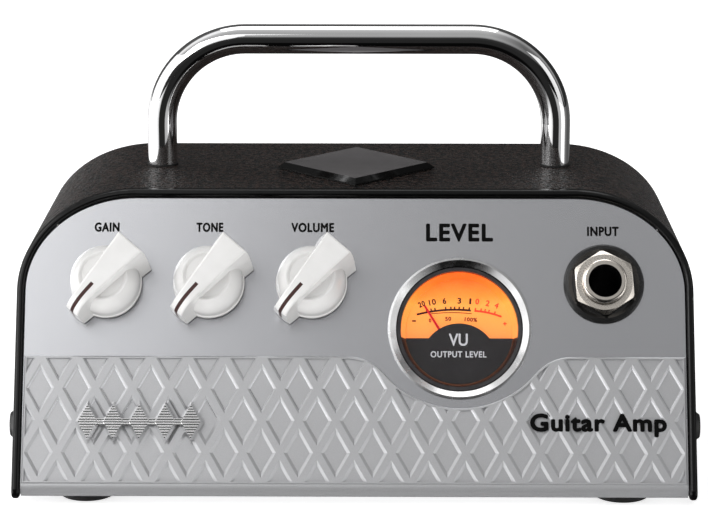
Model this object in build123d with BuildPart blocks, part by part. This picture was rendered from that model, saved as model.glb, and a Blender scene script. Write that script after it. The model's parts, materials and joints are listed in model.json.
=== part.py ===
from build123d import *
from math import cos, radians, sin, tan
import os

# A mini guitar amp head: a silver chassis folded from one sheet (front, floor, back), a black hood
# over it (top and sides), a rod handle, three pointer knobs, a VU meter, jacks and switches.
# +X is the user's right, +Y the back, +Z up. The origin is on the table, under the middle.

os.makedirs("parts", exist_ok=True)

# ---- driving dimensions, mm ----
hood_width = 132.0
hood_sheet = 1.5
chassis_sheet = 1.5
floor_gap = 2.0            # table to the underside of the chassis: the height of the feet
body_height = 55.6         # underside of the chassis to the top of the hood
tilt = 25.0                # the front leans back by this angle
front_y = -38.48           # bottom edge of the front
top_depth = 47.0
corner_across = 23.0       # the hood's upper corners are quarter ellipses
corner_down = 18.4
seam = 0.25                # gap between hood and chassis
rim_depth = 0.5            # the hood's front edge stands this far in front of the panel
handle_spacing = 80.4
handle_x = 0.5             # the handle's middle
handle_rise = 28.95        # top of the rod above the hood
rod_radius = 3.0
knob_pitch = 20.0

# ---- places worked out from them ----
hood_top = floor_gap + body_height
rear_y = front_y + body_height * tan(radians(tilt)) + top_depth
half_width = hood_width / 2
panel_half = half_width - hood_sheet - seam
panel_height = 59.7        # up the slope, bottom edge to top edge
lean = Vector(0, -cos(radians(tilt)), sin(radians(tilt)))      # the panel's outward normal
front_cut = Plane(origin=(0, front_y, floor_gap), x_dir=(1, 0, 0), z_dir=lean)
rear_cut = Plane(origin=(0, rear_y, 0), x_dir=(-1, 0, 0), z_dir=(0, 1, 0))
# The front panel's surface: x across, y up the slope from its bottom edge, z out of the panel.
panel = Plane(origin=(0, front_y + rim_depth / cos(radians(tilt)), floor_gap), x_dir=(1, 0, 0), z_dir=lean)
# The back panel's surface: x towards the user's left, y up, z out of the back.
back = rear_cut.offset(-0.4)

knob_row = 42.4            # up the slope
knob_x = {"gain": -48.4, "tone": -48.4 + knob_pitch, "volume": -48.4 + 2 * knob_pitch}
meter_x, meter_up = 20.4, 33.7
jack_x, jack_up = 48.5, 42.5
handle_y = front_y + body_height * tan(radians(tilt)) + 24.5
handle_spots = [(handle_x - handle_spacing / 2, handle_y), (handle_x + handle_spacing / 2, handle_y)]
window_y = front_y + body_height * tan(radians(tilt)) + 20.2
foot_x = 52.2
foot_y = (front_y + 10.9, rear_y - 11.2)
side_screw_y = (front_y + 14.6, rear_y - 12.0)
side_screw_z = 12.9
lug_height = 15.0          # fold-up side lugs of the chassis


def save(builder, label):
    """Label a finished piece and write its STEP file."""
    builder.part.label = label
    export_step(builder.part, f"parts/{label}.step")


def face_spot(base, x, up, height=0.0):
    """The plane at a spot of the front or back panel, at a height out of it."""
    return Plane(origin=base.from_local_coords((x, up, height)), x_dir=base.x_dir, z_dir=base.z_dir)


def turned_plane(base, x, up):
    """A plane through the panel's normal at a spot: x is the radius, y the height out of the panel."""
    origin = base.from_local_coords((x, up, 0))
    return Plane(origin=origin, x_dir=base.x_dir, z_dir=base.x_dir.cross(base.z_dir))


def normal_axis(base, x, up):
    """The panel's normal through a spot, as an axis."""
    return Axis(base.from_local_coords((x, up, 0)), base.z_dir)


def hood_outline(inset, bottom):
    """Front view of the hood: straight sides, elliptical upper corners, flat top."""
    half = half_width - inset
    top = hood_top - inset
    across = corner_across - inset
    down = corner_down - inset
    with BuildSketch() as outline:
        with BuildLine():
            Line((half, bottom), (half, top - down))
            EllipticalCenterArc((half - across, top - down), across, down, start_angle=0, arc_size=90)
            Line((half - across, top), (across - half, top))
            EllipticalCenterArc((across - half, top - down), across, down, start_angle=90, arc_size=90)
            Line((-half, top - down), (-half, bottom))
            Line((-half, bottom), (half, bottom))
        make_face()
    return outline.sketch


def diamond(half_x, half_y):
    """A diamond, wider or taller as its half diagonals say."""
    Polygon((half_x, 0), (0, half_y), (-half_x, 0), (0, -half_y), align=None)


# ---- hood: top and sides, one bent sheet ----
hood_bottom = floor_gap - 0.2
hood_screw_radius = 1.6
with BuildPart() as hood:
    with BuildSketch(Plane.XZ):
        add(hood_outline(0, hood_bottom))
    extrude(amount=80, both=True)
    with BuildSketch(Plane.XZ):
        add(hood_outline(hood_sheet, hood_bottom - 1))
    extrude(amount=80, both=True, mode=Mode.SUBTRACT)
    split(bisect_by=front_cut, keep=Keep.BOTTOM)
    split(bisect_by=rear_cut, keep=Keep.BOTTOM)
    corners = hood.edges().filter_by(Axis.X).filter_by(lambda e: e.length < 2 * hood_sheet)
    fillet(corners, 1.6)
    rims = hood.edges().filter_by(lambda e: front_cut.to_local_coords(e.center()).Z > -0.01)
    fillet(rims, 0.6)
    with BuildSketch(Plane.YZ):
        with Locations(*[(y, side_screw_z) for y in side_screw_y]):
            Circle(hood_screw_radius)
    extrude(amount=hood_width, both=True, mode=Mode.SUBTRACT)
    with BuildSketch(Plane.XY.offset(hood_top - 5)):
        with Locations(*handle_spots):
            Circle(2.1)
        with Locations((0, window_y)):
            diamond(11, 11.6)
    extrude(amount=10, mode=Mode.SUBTRACT)
save(hood, "hood")

# ---- chassis: front, floor and back in one bent sheet, with a raised pattern field ----
bend = 1.8
front_foot = panel.origin
front_head = panel.from_local_coords((0, panel_height, 0))
wall_top = hood_top - hood_sheet - seam
pot_hole = 3.6
meter_hole = 13.6
jack_hole = 4.75
badge_x, badge_up = -41.5, 15.1
badge_pin_spacing = 18.6
pattern_top = 28.1
pattern_bottom = 3.2
pattern_lift = 0.3
pocket_depth = 0.45
lattice_x = 7.17           # diamond lattice: pitch across and between rows
lattice_y = 6.25
pocket_scale = 0.79        # size of a pocket against its lattice cell
pocket_row = 15.5          # a row with a diamond in the middle
dip_radius = 19.2          # the field's upper edge dips around the meter
dip_rise = 3.5
dip_corner = 9.0
speaker_x, line_x = 47.0, 24.0
rear_jack_up = 27.0
inlet_x, power_x = -49.0, -30.0
switch_x = {"eq": -11.5, "eco": 3.0}
rear_row = 27.0
power_cut = (13.0, 19.2)
switch_cut = (3.0, 6.4)
switch_screw_spacing = 15.0
board_hole_x, board_hole_y = 88.0, 24.0
board_middle = (-4.0, 1.0)


def pattern_outline(inset):
    """The raised field: full width, with a dip in its upper edge around the meter."""
    top = pattern_top - inset
    bottom = pattern_bottom + inset
    with BuildSketch() as field:
        with Locations((0, (top + bottom) / 2)):
            Rectangle(2 * (panel_half - 0.15 - inset), top - bottom)
        with Locations((meter_x, meter_up + dip_rise)):
            Circle(dip_radius + inset, mode=Mode.SUBTRACT)
        near = dip_radius + inset
        shoulders = field.vertices().filter_by(lambda v: v.Y > top - 0.1 and abs(v.X - meter_x) < near)
        fillet(shoulders, dip_corner)
    return field.sketch


with BuildPart() as pockets:
    with BuildSketch(panel.offset(pattern_lift)):
        for row in range(-2, 3):
            shift = lattice_x / 2 if row % 2 else 0
            with Locations((shift, pocket_row + row * lattice_y)):
                with GridLocations(lattice_x, 1, 19, 1):
                    diamond(lattice_x / 2 * pocket_scale, lattice_y * pocket_scale)
    extrude(amount=-pocket_depth, taper=52)
    with BuildSketch(panel.offset(pattern_lift)):
        add(pattern_outline(0.45))
    extrude(amount=-2, mode=Mode.INTERSECT)

with BuildPart() as chassis:
    with BuildSketch(Plane.YZ):
        with BuildLine():
            FilletPolyline(
                (front_head.Y, front_head.Z),
                (front_foot.Y, front_foot.Z),
                (back.origin.Y, floor_gap),
                (back.origin.Y, wall_top),
                radius=bend,
            )
            offset(amount=chassis_sheet, side=Side.LEFT)
        make_face()
    extrude(amount=panel_half, both=True)
    with BuildSketch(Plane.XZ):
        add(hood_outline(hood_sheet + seam, 0))
    extrude(amount=80, both=True, mode=Mode.INTERSECT)
    for side in (-1, 1):
        with BuildSketch(Plane.XY.offset(floor_gap + 0.01)):
            with Locations((side * (panel_half - chassis_sheet / 2), 0)):
                Rectangle(chassis_sheet, 54)
        extrude(amount=lug_height)
    with BuildSketch(panel):
        add(pattern_outline(0))
    extrude(amount=pattern_lift, taper=40)
    add(pockets.part, mode=Mode.SUBTRACT)
    with BuildSketch(panel.offset(1)):
        with Locations(*[(x, knob_row) for x in knob_x.values()]):
            Circle(pot_hole)
        with Locations((meter_x, meter_up)):
            Circle(meter_hole)
        with Locations((jack_x, jack_up)):
            Circle(jack_hole)
        with Locations((badge_x, badge_up)):
            with GridLocations(badge_pin_spacing, 1, 2, 1):
                Circle(0.8)
    extrude(amount=-chassis_sheet - 2, mode=Mode.SUBTRACT)
    with BuildSketch(back.offset(1)):
        with Locations((speaker_x, rear_jack_up), (line_x, rear_jack_up)):
            Circle(jack_hole)
        with Locations((inlet_x, rear_row)):
            Circle(4.05)
        with Locations((power_x, rear_row)):
            Rectangle(*power_cut)
        for x in switch_x.values():
            with Locations((x, rear_row)):
                Rectangle(*switch_cut)
                with GridLocations(1, switch_screw_spacing, 1, 2):
                    Circle(1.1)
    extrude(amount=-chassis_sheet - 2, mode=Mode.SUBTRACT)
    with BuildSketch(Plane.YZ):
        with Locations(*[(y, side_screw_z) for y in side_screw_y]):
            Circle(1.55)
    extrude(amount=hood_width, both=True, mode=Mode.SUBTRACT)
    with BuildSketch(Plane.XY):
        with Locations(*[(side * foot_x, y) for side in (-1, 1) for y in foot_y]):
            Circle(1.6)
        with Locations(board_middle):
            with GridLocations(board_hole_x, board_hole_y, 2, 2):
                Circle(1.6)
    extrude(amount=floor_gap + 3, mode=Mode.SUBTRACT)
save(chassis, "chassis")

# ---- fasteners of the hood ----
with BuildPart() as side_screws:
    for side in (-1, 1):
        for y in side_screw_y:
            skin = (side * half_width, y, side_screw_z)
            outside = Plane(origin=skin, x_dir=(0, 1, 0), z_dir=(side, 0, 0))
            with BuildSketch(outside):
                Circle(3.0)
            extrude(amount=0.6)
            with BuildSketch(outside.offset(0.6)):
                Circle(3.0)
            extrude(amount=0.9, taper=38)
            with BuildSketch(outside):
                Circle(1.5)
            extrude(amount=-5.8)
            with BuildSketch(outside.offset(1.5)):
                Rectangle(3.0, 0.7)
                Rectangle(0.7, 3.0)
            extrude(amount=-0.9, mode=Mode.SUBTRACT)
save(side_screws, "side_screws")

with BuildPart() as side_nuts:
    for side in (-1, 1):
        for y in side_screw_y:
            lug_face = (side * (panel_half - chassis_sheet), y, side_screw_z)
            inside = Plane(origin=lug_face, z_dir=(-side, 0, 0))
            with BuildSketch(inside):
                RegularPolygon(3.1, 6)
                Circle(1.55, mode=Mode.SUBTRACT)
            extrude(amount=2.0)
save(side_nuts, "side_nuts")

# ---- handle: one bent rod on two washers, screwed on from inside ----
washer_height = 0.4
handle_bend = 17.2
rod_middle = hood_top + handle_rise - rod_radius
leg_foot = hood_top + washer_height
with BuildPart() as handle:
    with BuildLine(Plane(origin=(handle_x, handle_y, 0), x_dir=(1, 0, 0), z_dir=(0, -1, 0))):
        FilletPolyline(
            (-handle_spacing / 2, leg_foot),
            (-handle_spacing / 2, rod_middle),
            (handle_spacing / 2, rod_middle),
            (handle_spacing / 2, leg_foot),
            radius=handle_bend,
        )
    with BuildSketch(Plane(origin=(*handle_spots[0], leg_foot))):
        Circle(rod_radius)
    sweep()
    with BuildSketch(Plane.XY.offset(leg_foot)):
        with Locations(*handle_spots):
            Circle(2.0)
    extrude(amount=9, mode=Mode.SUBTRACT)
save(handle, "handle")

with BuildPart() as handle_washers:
    with BuildSketch(Plane.XY.offset(hood_top)):
        with Locations(*handle_spots):
            Circle(rod_radius + 0.1)
            Circle(2.1, mode=Mode.SUBTRACT)
    extrude(amount=washer_height)
save(handle_washers, "handle_washers")

with BuildPart() as handle_screws:
    for spot in handle_spots:
        with BuildSketch(Plane(origin=(*spot, hood_top - hood_sheet))):
            Circle(3.6)
        extrude(amount=-2.2)
        with BuildSketch(Plane(origin=(*spot, hood_top - hood_sheet))):
            Circle(1.95)
        extrude(amount=hood_sheet + 8)
        with BuildSketch(Plane(origin=(*spot, hood_top - hood_sheet - 2.2))):
            RegularPolygon(1.7, 6)
        extrude(amount=1.4, mode=Mode.SUBTRACT)
save(handle_screws, "handle_screws")

# ---- tube window: a bevelled dark diamond over an opening in the hood's top ----
window_half_x, window_half_y = 15.9, 17.0
gasket_height = 0.2
with BuildPart() as window_gasket:
    with BuildSketch(Plane(origin=(0, window_y, hood_top))):
        diamond(window_half_x - 0.4, window_half_y - 0.43)
        Polygon((11, 0), (0, 11.6), (-11, 0), (0, -11.6), align=None, mode=Mode.SUBTRACT)
    extrude(amount=gasket_height)
save(window_gasket, "window_gasket")

with BuildPart() as tube_window:
    with BuildSketch(Plane(origin=(0, window_y, hood_top + gasket_height))):
        diamond(window_half_x, window_half_y)
    extrude(amount=0.2)
    with BuildSketch(Plane(origin=(0, window_y, hood_top + gasket_height + 0.2))):
        diamond(window_half_x, window_half_y)
    extrude(amount=1.0, taper=47)
    with BuildSketch(Plane(origin=(0, window_y, hood_top + gasket_height))):
        diamond(10.7, 11.3)
    extrude(amount=-1.3)
save(tube_window, "tube_window")

# ---- rubber feet, each held by a screw from below ----
foot_radius = 5.5
foot_spots = [(side * foot_x, y) for side in (-1, 1) for y in foot_y]
with BuildPart() as feet:
    with BuildSketch(Plane.XY):
        with Locations(*foot_spots):
            Circle(foot_radius)
    extrude(amount=floor_gap)
    fillet(feet.edges().group_by(Axis.Z)[0], 0.5)
    with Locations(*[(x, y, 0) for x, y in foot_spots]):
        Hole(1.6, depth=floor_gap)
        with Locations(Location((0, 0, 0))):
            Cylinder(2.9, 1.1, align=(Align.CENTER, Align.CENTER, Align.MIN), mode=Mode.SUBTRACT)
save(feet, "feet")

with BuildPart() as foot_screws:
    for x, y in foot_spots:
        with BuildSketch(Plane(origin=(x, y, 0.2))):
            Circle(2.6)
        extrude(amount=0.9)
        with BuildSketch(Plane(origin=(x, y, 0.2))):
            Rectangle(2.4, 0.6)
            Rectangle(0.6, 2.4)
        extrude(amount=0.5, mode=Mode.SUBTRACT)
        with BuildSketch(Plane(origin=(x, y, 1.1))):
            Circle(1.5)
        extrude(amount=floor_gap + chassis_sheet + 2.2 - 1.1)
save(foot_screws, "foot_screws")

with BuildPart() as foot_nuts:
    for x, y in foot_spots:
        with BuildSketch(Plane(origin=(x, y, floor_gap + chassis_sheet))):
            RegularPolygon(3.0, 6)
            Circle(1.55, mode=Mode.SUBTRACT)
        extrude(amount=2.0)
save(foot_nuts, "foot_nuts")

# ---- pots and their pointer knobs ----
pointer_angle = 41.0       # the pointer at rest, left of straight down
pointer_x = -sin(radians(pointer_angle))
pointer_up = -cos(radians(pointer_angle))
pointer = panel.x_dir * pointer_x + panel.y_dir * pointer_up
bushing_radius = 3.5
shaft_radius = 2.975
shaft_bore = 3.05
bushing_top = 2.8
nut_across = 9.0
knob_bottom = 0.6
knob_top = 11.0
disc_height = 8.4
skirt_radius = 6.95
hollow_height = 3.2
tip_reach, tail_reach = 8.3, 8.3
tip_half, tail_half = 1.2, 2.9
draft = 2.0                # the pointer bar's tail grows by this much towards its foot
tip_share = 0.35           # the narrow end grows by this share of it
line_half = 0.36
line_inset = 0.3           # depth of the coloured line let into the bar
shaft_foot, shaft_end = 4.5, 7.5
knob_bore, knob_bore_depth = 3.0, 7.6
track_depth = 8.0          # the pot's box behind the panel
shoulder_radius, shoulder_bottom = 6.72, 3.9
dish_radius, dish_depth = 4.75, 0.2
hollow_radius = 5.9        # the knob is hollow over the nut
tip_bend = 4.6
bar_reach = 9.05           # the bar's ends lie on a circle of this radius


def bar_outline(grow):
    """The pointer bar from above: wide tail, narrow tip along +Y."""
    Polygon(
        (-tip_half - tip_share * grow, tip_reach + grow),
        (-tail_half - grow, -tail_reach),
        (tail_half + grow, -tail_reach),
        (tip_half + tip_share * grow, tip_reach + grow),
        align=None,
    )


for label, x in knob_x.items():
    seat = Plane(origin=panel.from_local_coords((x, knob_row, 0)), x_dir=pointer.cross(lean), z_dir=lean)
    spindle = normal_axis(panel, x, knob_row)

    with BuildPart() as pot:
        with BuildSketch(seat.offset(-track_depth)):
            RectangleRounded(11, 11.6, 0.8)
        extrude(amount=track_depth - chassis_sheet)
        with BuildSketch(seat.offset(-chassis_sheet)):
            Circle(bushing_radius)
        extrude(amount=chassis_sheet + bushing_top)
        with BuildSketch(seat.offset(bushing_top)):
            Circle(shaft_bore)
        extrude(amount=-bushing_top - 5, mode=Mode.SUBTRACT)
    save(pot, f"{label}_pot")

    with BuildPart() as shaft:
        with BuildSketch(seat.offset(-shaft_foot)):
            Circle(shaft_radius)
        extrude(amount=shaft_foot + shaft_end)
    save(shaft, f"{label}_shaft")

    with BuildPart() as bar:
        with BuildSketch(seat.offset(knob_bottom)):
            bar_outline(draft)
        with BuildSketch(seat.offset(knob_top)):
            bar_outline(0)
        loft()
        with BuildSketch(seat):
            Circle(bar_reach)
        extrude(amount=knob_top + 1, mode=Mode.INTERSECT)
        crest = bar.faces().sort_by(Axis((0, 0, 0), lean))[-1]
        tip_edge = crest.edges().sort_by(Axis((0, 0, 0), pointer))[-1]
        fillet(tip_edge, tip_bend)
        crest = bar.faces().sort_by(Axis((0, 0, 0), lean))[-1]
        long_edges = crest.edges().sort_by(Axis((0, 0, 0), pointer))[:-1]
        fillet(long_edges, 0.4)

    with BuildPart() as line:
        add(bar.part)
        add(bar.part.moved(Location(-line_inset * (pointer + lean))), mode=Mode.SUBTRACT)
        with BuildSketch(seat.offset(1.8)):
            with Locations((0, (tip_reach + 3.0) / 2 + 1)):
                Rectangle(2 * line_half, tip_reach - 3.0 + 3)
        extrude(amount=knob_top, mode=Mode.INTERSECT)
    save(line, f"{label}_pointer_line")

    with BuildPart() as knob:
        with BuildSketch(turned_plane(panel, x, knob_row)):
            with BuildLine():
                Line((0, knob_bottom), (skirt_radius, knob_bottom))
                Line((skirt_radius, knob_bottom), (skirt_radius, 1.5))
                Line((skirt_radius, 1.5), (6.78, 1.6))
                wall = Line((6.78, 1.6), (shoulder_radius, shoulder_bottom))
                crown = (dish_radius, disc_height + 0.1)
                TangentArc((shoulder_radius, shoulder_bottom), crown, tangent=wall % 1)
                Line(crown, (4.5, disc_height + 0.1))
                Line((4.5, disc_height + 0.1), (4.0, disc_height - dish_depth))
                Line((4.0, disc_height - dish_depth), (0, disc_height - dish_depth))
                Line((0, disc_height - dish_depth), (0, knob_bottom))
            make_face()
        revolve(axis=spindle)
        add(bar.part)
        with BuildSketch(seat):
            Circle(hollow_radius)
        extrude(amount=hollow_height, mode=Mode.SUBTRACT)
        with BuildSketch(seat):
            Circle(knob_bore)
        extrude(amount=knob_bore_depth, mode=Mode.SUBTRACT)
        add(line.part, mode=Mode.SUBTRACT)
    save(knob, f"{label}_knob")

with BuildPart() as pot_washers:
    with BuildSketch(panel):
        with Locations(*[(x, knob_row) for x in knob_x.values()]):
            Circle(5.2)
            Circle(bushing_radius + 0.05, mode=Mode.SUBTRACT)
    extrude(amount=0.5)
save(pot_washers, "pot_washers")

with BuildPart() as pot_nuts:
    with BuildSketch(panel.offset(0.5)):
        with Locations(*[(x, knob_row) for x in knob_x.values()]):
            RegularPolygon(nut_across / 2, 6, major_radius=False)
            Circle(bushing_radius + 0.05, mode=Mode.SUBTRACT)
    extrude(amount=1.8)
save(pot_nuts, "pot_nuts")

# ---- badge: a plain row of lozenges on a bar, with two pins through the panel ----
badge_seat = face_spot(panel, badge_x, badge_up, pattern_lift)
lozenge_pitch = 5.0
with BuildPart() as badge:
    with BuildSketch(badge_seat):
        Rectangle(22.6, 1.4)
    extrude(amount=0.8)
    for index in range(-2, 3):
        with BuildSketch(badge_seat):
            with Locations((index * lozenge_pitch, 0)):
                diamond(2.45, 4.3)
        extrude(amount=1.1, taper=24)
    with BuildSketch(badge_seat):
        with GridLocations(badge_pin_spacing, 1, 2, 1):
            Circle(0.75)
    extrude(amount=-3.3)
save(badge, "badge")

# ---- VU meter, built on its own plane: z out of the panel, middle of the meter at 0 ----
meter = face_spot(panel, meter_x, meter_up)
meter_turn = turned_plane(panel, meter_x, meter_up)
meter_axis = normal_axis(panel, meter_x, meter_up)
case_radius = 12.3
case_inner = 11.45
case_depth = 13.0
dial_height = -3.9
dial_radius = 10.35
pivot_drop = 5.95          # the needle's pivot is this far below the middle
needle_length = 12.9
needle_rest = 31.5         # the needle at rest, left of straight up
pivot_radius = 0.4
mask_edge = -1.5
mask_hump = 7.4

with BuildPart() as meter_bezel:
    with BuildSketch(meter_turn):
        Polygon(
            (14.0, 0), (13.9, 0.2), (13.5, 0.25), (12.36, -0.45), (12.36, -1.5), (13.55, -1.5), (13.55, 0),
            align=None,
        )
    revolve(axis=meter_axis)
save(meter_bezel, "meter_bezel")

with BuildPart() as meter_ring_nut:
    with BuildSketch(meter.offset(-chassis_sheet)):
        Circle(15.2)
        Circle(12.36, mode=Mode.SUBTRACT)
    extrude(amount=-2.0)
save(meter_ring_nut, "meter_ring_nut")

with BuildPart() as meter_case:
    with BuildSketch(meter_turn):
        Polygon(
            (0, -case_depth), (case_radius, -case_depth), (case_radius, -0.75), (case_radius - 0.2, -0.5),
            (case_inner, -0.55), (case_inner, 1 - case_depth), (0, 1 - case_depth),
            align=None,
        )
    revolve(axis=meter_axis)
    with BuildSketch(meter.offset(-case_depth)):
        with Locations((0, 6.5)):
            with GridLocations(6, 1, 2, 1):
                Circle(0.55)
    extrude(amount=3, both=True, mode=Mode.SUBTRACT)
save(meter_case, "meter_case")

with BuildPart() as meter_lens:
    with BuildSketch(meter.offset(-0.65)):
        Circle(case_inner - 0.05)
    extrude(amount=-0.8)
save(meter_lens, "meter_lens")

with BuildPart() as meter_light_ring:
    with BuildSketch(meter_turn):
        Polygon(
            (case_inner - 0.05, -1.5), (case_inner - 0.15, -1.5), (dial_radius + 0.05, dial_height),
            (dial_radius + 0.05, dial_height - 0.6), (case_inner - 0.05, dial_height - 0.6),
            align=None,
        )
    revolve(axis=meter_axis)
save(meter_light_ring, "meter_light_ring")

with BuildPart() as meter_dial:
    with BuildSketch(meter.offset(dial_height)):
        Circle(dial_radius)
        with Locations((0, -pivot_drop)):
            Circle(1.5, mode=Mode.SUBTRACT)
    extrude(amount=-0.4)
save(meter_dial, "meter_dial")

with BuildPart() as meter_mask:
    with BuildSketch(meter.offset(-3.0)):
        with Locations((0, mask_edge)):
            Rectangle(22, 12, align=(Align.CENTER, Align.MAX))
        with Locations((0, -pivot_drop)):
            Circle(mask_hump)
        Circle(dial_radius + 0.25, mode=Mode.INTERSECT)
    extrude(amount=0.25)
save(meter_mask, "meter_mask")

pivot_spot = meter.from_local_coords((0, -pivot_drop, 0))
needle_x = -sin(radians(needle_rest))
needle_up = cos(radians(needle_rest))
needle_plane = Plane(origin=pivot_spot, x_dir=panel.x_dir * needle_x + panel.y_dir * needle_up, z_dir=lean)
coil_radius = 3.6
with BuildPart() as meter_needle:
    with BuildSketch(needle_plane.offset(-3.5)):
        Polygon((-2.4, 0.35), (-2.4, -0.35), (needle_length, -0.2), (needle_length, 0.2), align=None)
        Circle(0.9)
    extrude(amount=0.2)
    with BuildSketch(needle_plane.offset(-3.5)):
        Circle(pivot_radius)
    extrude(amount=-8.2)
    with BuildSketch(needle_plane.offset(-5.6)):
        Circle(coil_radius)
    extrude(amount=-4.6)
    with BuildSketch(needle_plane.offset(-6.0)):
        Circle(coil_radius - 0.4)
        Circle(pivot_radius, mode=Mode.SUBTRACT)
    extrude(amount=-4.6, mode=Mode.SUBTRACT)
save(meter_needle, "meter_needle")

with BuildPart() as meter_magnet:
    with BuildSketch(needle_plane.offset(1 - case_depth)):
        Circle(5.35)
        Circle(coil_radius + 0.4, mode=Mode.SUBTRACT)
    extrude(amount=6.2)
    with BuildSketch(needle_plane.offset(1 - case_depth)):
        Circle(coil_radius - 0.8)
        Circle(pivot_radius + 0.05, mode=Mode.SUBTRACT)
    extrude(amount=5.6)
save(meter_magnet, "meter_magnet")

with BuildPart() as meter_lamp:
    with BuildSketch(meter.offset(1 - case_depth)):
        with Locations((0, 6.5)):
            Rectangle(13, 4.6)
    extrude(amount=1.0)
    with BuildSketch(meter.offset(2 - case_depth)):
        with Locations((0, 6.5)):
            with GridLocations(4.5, 1, 3, 1):
                Rectangle(2.6, 2.6)
    extrude(amount=1.6, taper=8)
    with BuildSketch(meter.offset(1 - case_depth)):
        with Locations((0, 6.5)):
            with GridLocations(6, 1, 2, 1):
                Circle(0.5)
    extrude(amount=-4)
save(meter_lamp, "meter_lamp")

# ---- jacks: a threaded bushing on a closed body, bored for a 6.35 mm plug ----
plug_bore = 3.2
jack_bushing = 4.4
jack_reach = 3.8           # the bushing's face in front of its panel
jack_depth = 27.0
jack_nut_across = 11.15
washer_thickness = 0.8
lug_spots = (-4.0, 0.0, 4.0)


def jack_body(seat):
    """Body behind the sheet, bushing through it, blind bore for the plug."""
    with BuildPart() as body:
        with BuildSketch(seat.offset(-jack_depth)):
            RectangleRounded(12.6, 12.6, 1)
        extrude(amount=jack_depth - chassis_sheet)
        with BuildSketch(seat.offset(-chassis_sheet)):
            Circle(jack_bushing)
        extrude(amount=chassis_sheet + jack_reach)
        mouth = body.faces().sort_by(Axis(seat.origin, seat.z_dir))[-1]
        fillet(mouth.edges(), 0.65)
        with BuildSketch(seat.offset(jack_reach)):
            Circle(plug_bore)
        extrude(amount=-jack_reach - jack_depth + 1, mode=Mode.SUBTRACT)
    return body.part


input_seat = face_spot(panel, jack_x, jack_up)
rear_seats = {"speaker_jack": face_spot(back, speaker_x, rear_jack_up),
              "line_jack": face_spot(back, line_x, rear_jack_up)}

with BuildPart() as input_jack:
    add(jack_body(input_seat))
save(input_jack, "input_jack")

for label, seat in rear_seats.items():
    with BuildPart() as rear_jack:
        add(jack_body(seat))
    save(rear_jack, label)

with BuildPart() as input_jack_washer:
    with BuildSketch(turned_plane(panel, jack_x, jack_up)):
        Polygon((4.45, 0), (7.85, 0), (7.85, 0.3), (7.5, 0.7), (6.9, washer_thickness), (6.2, 0.35),
                (4.45, 0.35), align=None)
    revolve(axis=normal_axis(panel, jack_x, jack_up))
save(input_jack_washer, "input_jack_washer")

with BuildPart() as input_jack_nut:
    with BuildSketch(input_seat.offset(0.36)):
        RegularPolygon(jack_nut_across / 2, 6, major_radius=False, rotation=34)
    extrude(amount=1.94)
    with BuildSketch(turned_plane(panel, jack_x, jack_up)):
        Polygon((0, 0.3), (jack_nut_across / 2 + 0.1, 0.3), (jack_nut_across / 2 + 0.7, 0.65),
                (jack_nut_across / 2 + 0.7, 1.85), (jack_nut_across / 2 - 0.1, 2.3), (0, 2.3), align=None)
    revolve(axis=normal_axis(panel, jack_x, jack_up), mode=Mode.INTERSECT)
    with BuildSketch(input_seat):
        Circle(jack_bushing + 0.05)
    extrude(amount=3, mode=Mode.SUBTRACT)
save(input_jack_nut, "input_jack_nut")

with BuildPart() as rear_nuts:
    for seat in rear_seats.values():
        with BuildSketch(seat):
            RegularPolygon(jack_nut_across / 2, 6, major_radius=False)
            Circle(jack_bushing + 0.05, mode=Mode.SUBTRACT)
        extrude(amount=2.0)
    with BuildSketch(face_spot(back, inlet_x, rear_row, -chassis_sheet)):
        RegularPolygon(5.4, 6, major_radius=False)
        Circle(4.05, mode=Mode.SUBTRACT)
    extrude(amount=-2.0)
save(rear_nuts, "rear_nuts")

with BuildPart() as jack_lugs:
    for seat in (input_seat, *rear_seats.values()):
        with BuildSketch(seat.offset(-jack_depth)):
            with Locations(*[(x, 4) for x in lug_spots]):
                Rectangle(2.2, 0.5)
        extrude(amount=-4.5)
save(jack_lugs, "jack_lugs")

# ---- power inlet: round socket with a centre pin ----
inlet_bore = 2.8
inlet_seat = face_spot(back, inlet_x, rear_row)
with BuildPart() as dc_inlet:
    with BuildSketch(inlet_seat.offset(-13)):
        Circle(4.0)
    extrude(amount=13)
    with BuildSketch(inlet_seat):
        Circle(5.5)
    extrude(amount=1.4)
    fillet(dc_inlet.faces().sort_by(Axis.Y)[-1].edges(), 0.4)
    with BuildSketch(inlet_seat.offset(1.4)):
        Circle(inlet_bore)
        Circle(1.05, mode=Mode.SUBTRACT)
    extrude(amount=-12, mode=Mode.SUBTRACT)
    with BuildSketch(inlet_seat.offset(1.4)):
        Circle(1.1)
    extrude(amount=-1.2, mode=Mode.SUBTRACT)
    with BuildSketch(inlet_seat.offset(-13)):
        with Locations((0, 2), (0, -2)):
            Rectangle(2, 0.5)
    extrude(amount=-3.5)
save(dc_inlet, "dc_inlet")

# ---- power switch: frame and rocker; the rocker turns on two stub pins ----
power_seat = face_spot(back, power_x, rear_row)
rocker_pivot = -0.6        # the pivot's height out of the panel
rocker_half = 4.8
rocker_well = 5.2
rocker_turn = 10.0         # either way from the middle
stub_radius = 1.0
with BuildPart() as power_switch:
    with BuildSketch(power_seat.offset(-11)):
        Rectangle(power_cut[0] - 0.1, power_cut[1] - 0.1)
    extrude(amount=11)
    with BuildSketch(power_seat):
        RectangleRounded(15.2, 21.4, 1.0)
    extrude(amount=1.5)
    fillet(power_switch.faces().sort_by(Axis.Y)[-1].edges(), 0.5)
    with BuildSketch(power_seat.offset(2)):
        Rectangle(2 * rocker_well, 16.2)
    extrude(amount=-7, mode=Mode.SUBTRACT)
    with BuildSketch(Plane(origin=power_seat.from_local_coords((0, 0, rocker_pivot)), z_dir=(1, 0, 0))):
        Circle(stub_radius + 0.05)
    extrude(amount=6.0, both=True, mode=Mode.SUBTRACT)
    with BuildSketch(power_seat.offset(-11)):
        with GridLocations(1, 7, 1, 2):
            Rectangle(4.8, 0.8)
    extrude(amount=-6)
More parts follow.
